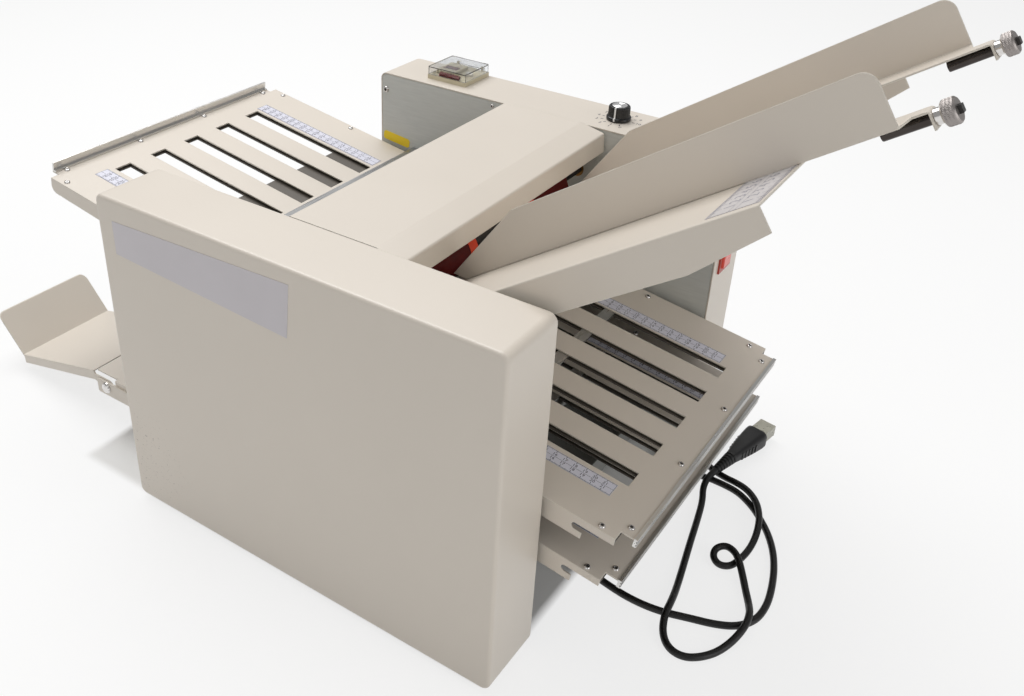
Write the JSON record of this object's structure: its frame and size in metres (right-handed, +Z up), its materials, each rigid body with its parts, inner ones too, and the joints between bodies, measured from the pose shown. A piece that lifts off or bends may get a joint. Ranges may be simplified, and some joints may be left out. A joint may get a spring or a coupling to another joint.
{
  "type": "paper folding machine",
  "caption": "Desk paper folding machine: sloping feed table with side guides, hood over a feed roller, geared fold rollers, slotted fold plates and a tilting exit tray.",
  "frame": {"origin": "centre of the bounding box's bottom, on the surface that the rubber feet stand on", "axes": "+X along the machine towards the top of the feed table, +Y from the front cover to the rear control box, +Z up"},
  "size_m": [0.98, 0.492, 0.5435],
  "materials": {
    "ivory_paint": "satin",
    "grey_paint": "satin",
    "steel": "machined",
    "chrome": "polished",
    "aluminium": "extruded",
    "black_rubber": "matt",
    "orange_rubber": "matt",
    "maroon_rubber": "matt",
    "grey_rubber": "matt",
    "bronze": "sintered",
    "black_plastic": "smooth",
    "white_plastic": "fine",
    "cream_plastic": "smooth",
    "clear_plastic": "clear",
    "red_plastic": "smooth",
    "dark_window": "tinted"
  },
  "bodies": {
    "chassis": {"front_cover": "ivory_paint", "rear_cover": "ivory_paint", "feed_table": "ivory_paint", "left_fold_plate": "ivory_paint", "upper_fold_plate": "ivory_paint", "lower_fold_plate": "ivory_paint", "under_sheets": "ivory_paint", "exit_deck": "ivory_paint", "exit_bracket": "ivory_paint", "feed_deck": "ivory_paint", "front_side_frame": "grey_paint", "rear_side_frame": "grey_paint", "base_plate": "grey_paint", "paper_deflector": "grey_paint", "cross_bars": "steel", "frame_studs": "steel", "end_rails": "aluminium", "rubber_feet": "black_rubber", "separator_pads": "grey_rubber", "roller_bearings": "bronze", "drive_motor": "black_plastic", "drive_belts": "black_rubber", "counter_case": "cream_plastic", "counter_window": "dark_window", "switch_bezel": "black_plastic", "cord_gland": "black_plastic", "power_cord": "black_rubber", "power_plug": "black_rubber", "plug_pin_cover": "clear_plastic"},
    "hood": {"top_hood": "ivory_paint", "hood_pins": "steel"},
    "near_side_guide": {"near_guide": "ivory_paint"},
    "near_knob": {"near_clamp_knob": "chrome"},
    "far_side_guide": {"far_guide": "ivory_paint"},
    "far_knob": {"far_clamp_knob": "chrome"},
    "feed_roller": {"feed_shaft": "steel", "feed_tyres": "orange_rubber", "side_tyres": "maroon_rubber", "feed_pulley": "white_plastic"},
    "motor_rotor": {"motor_pulley": "steel"},
    "knob": {"speed_knob": "black_plastic"},
    "lid": {"counter_lid": "clear_plastic"},
    "button": {"reset_button": "white_plastic"},
    "rocker": {"power_rocker": "red_plastic"},
    "left_stop": {"left_paper_stop": "steel"},
    "upper_stop": {"upper_paper_stop": "steel"},
    "lower_stop": {"lower_paper_stop": "steel"},
    "tray": {"exit_tray": "ivory_paint"},
    "roller_1": {"fold_roller_1": "steel", "fold_gear_1": "white_plastic"},
    "roller_2": {"fold_roller_2": "steel", "fold_gear_2": "white_plastic"},
    "roller_3": {"fold_roller_3": "steel", "fold_gear_3": "white_plastic"},
    "roller_4": {"fold_roller_4": "steel", "fold_gear_4": "white_plastic"},
    "roller_5": {"fold_roller_5": "steel", "fold_gear_5": "white_plastic"},
    "roller_6": {"fold_roller_6": "steel", "fold_gear_6": "white_plastic"}
  },
  "joints": [
    {"name": "hood_hinge", "type": "hinge", "parent": "chassis", "child": "hood", "pos_m": [0.008, 0, 0.342], "axis": [0, -1, 0], "range_deg": [0, 70]},
    {"name": "near_guide_slide", "type": "slide", "parent": "chassis", "child": "near_side_guide", "axis": [0, 1, 0], "range_m": [-0.055, 0.06]},
    {"name": "near_knob_turn", "type": "hinge", "parent": "near_side_guide", "child": "near_knob", "pos_m": [0.46853, -0.066, 0.51722], "axis": [0.8242, 0, 0.5663], "continuous": true},
    {"name": "far_guide_slide", "type": "slide", "parent": "chassis", "child": "far_side_guide", "axis": [0, 1, 0], "range_m": [-0.095, 0.035]},
    {"name": "far_knob_turn", "type": "hinge", "parent": "far_side_guide", "child": "far_knob", "pos_m": [0.47265, 0.1051, 0.52005], "axis": [0.8242, 0, 0.5663], "continuous": true},
    {"name": "roller_1_spin", "type": "hinge", "parent": "chassis", "child": "roller_1", "pos_m": [-0.0354, 0, 0.2505], "axis": [0, 1, 0], "continuous": true},
    {"name": "roller_2_spin", "type": "hinge", "parent": "chassis", "child": "roller_2", "pos_m": [-0.0406, 0, 0.22451], "axis": [0, 1, 0], "continuous": true},
    {"name": "roller_3_spin", "type": "hinge", "parent": "chassis", "child": "roller_3", "pos_m": [-0.0354, 0, 0.19853], "axis": [0, 1, 0], "continuous": true},
    {"name": "roller_4_spin", "type": "hinge", "parent": "chassis", "child": "roller_4", "pos_m": [-0.0406, 0, 0.17255], "axis": [0, 1, 0], "continuous": true},
    {"name": "roller_5_spin", "type": "hinge", "parent": "chassis", "child": "roller_5", "pos_m": [-0.0354, 0, 0.14656], "axis": [0, 1, 0], "continuous": true},
    {"name": "roller_6_spin", "type": "hinge", "parent": "chassis", "child": "roller_6", "pos_m": [-0.0406, 0, 0.12058], "axis": [0, 1, 0], "continuous": true},
    {"name": "feed_spin", "type": "hinge", "parent": "chassis", "child": "feed_roller", "pos_m": [0.096, 0, 0.295], "axis": [0, 1, 0], "continuous": true},
    {"name": "motor_spin", "type": "hinge", "parent": "chassis", "child": "motor_rotor", "pos_m": [0.06, -0.206, 0.066], "axis": [0, 1, 0], "continuous": true},
    {"name": "speed_knob_turn", "type": "hinge", "parent": "chassis", "child": "knob", "pos_m": [0.123, 0.212, 0.352], "axis": [0, 0, 1], "range_deg": [-150, 150]},
    {"name": "counter_lid_hinge", "type": "hinge", "parent": "chassis", "child": "lid", "pos_m": [-0.087, 0.243, 0.3533], "axis": [-1, 0, 0], "range_deg": [0, 100]},
    {"name": "reset_press", "type": "slide", "parent": "chassis", "child": "button", "axis": [0, 0, -1], "range_m": [0, 0.001], "stiffness_N_per_m": 300, "springref_m": -0.0005},
    {"name": "rocker_tilt", "type": "hinge", "parent": "chassis", "child": "rocker", "pos_m": [0.2625, 0.204, 0.228], "axis": [0, 0, 1], "range_deg": [-8, 8]},
    {"name": "left_stop_slide", "type": "slide", "parent": "chassis", "child": "left_stop", "axis": [-0.9884, 0, 0.1521], "range_m": [-0.026, 0.199]},
    {"name": "upper_stop_slide", "type": "slide", "parent": "chassis", "child": "upper_stop", "axis": [0.9891, 0, -0.147], "range_m": [-0.115, 0.14]},
    {"name": "lower_stop_slide", "type": "slide", "parent": "chassis", "child": "lower_stop", "axis": [0.9891, 0, -0.147], "range_m": [-0.115, 0.14]},
    {"name": "exit_tray_tilt", "type": "hinge", "parent": "chassis", "child": "tray", "pos_m": [-0.291, -0.172, 0.043], "axis": [0, 1, 0], "range_deg": [-5, 40]}
  ],
  "couplings": [
    {"joint": "roller_2_spin", "follows": "roller_1_spin", "ratio": -1},
    {"joint": "roller_3_spin", "follows": "roller_1_spin", "ratio": 1},
    {"joint": "roller_4_spin", "follows": "roller_1_spin", "ratio": -1},
    {"joint": "roller_5_spin", "follows": "roller_1_spin", "ratio": 1},
    {"joint": "roller_6_spin", "follows": "roller_1_spin", "ratio": -1},
    {"joint": "feed_spin", "follows": "roller_1_spin", "ratio": 1},
    {"joint": "motor_spin", "follows": "roller_1_spin", "ratio": -1.6667}
  ]
}
